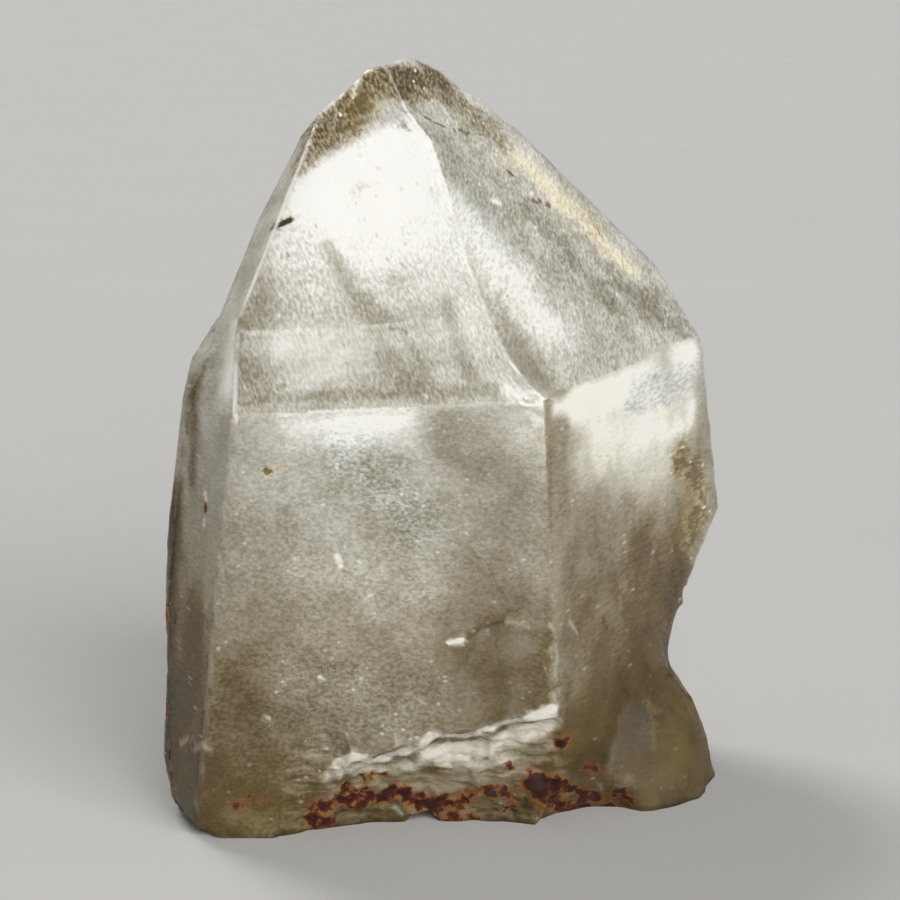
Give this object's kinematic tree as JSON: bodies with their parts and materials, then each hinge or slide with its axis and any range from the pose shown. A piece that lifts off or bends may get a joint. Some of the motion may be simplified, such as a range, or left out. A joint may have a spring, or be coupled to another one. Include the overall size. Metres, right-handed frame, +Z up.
{
  "type": "quartz point",
  "caption": "Single natural quartz crystal: a flat-sided milky prism with a slanting pointed end, standing upright on its broken base.",
  "frame": {"origin": "on the surface the crystal stands on, under the middle of its bounding box", "axes": "+Z up along the crystal's length, +X to the right and +Y away from the viewer when the broad front face is looked at"},
  "size_m": [0.0476, 0.03, 0.0607],
  "materials": {
    "milky_quartz": "frosted milky quartz, clearer in patches, with rust stains on the broken base"
  },
  "bodies": {
    "root": {"quartz_point": "milky_quartz"}
  },
  "joints": []
}
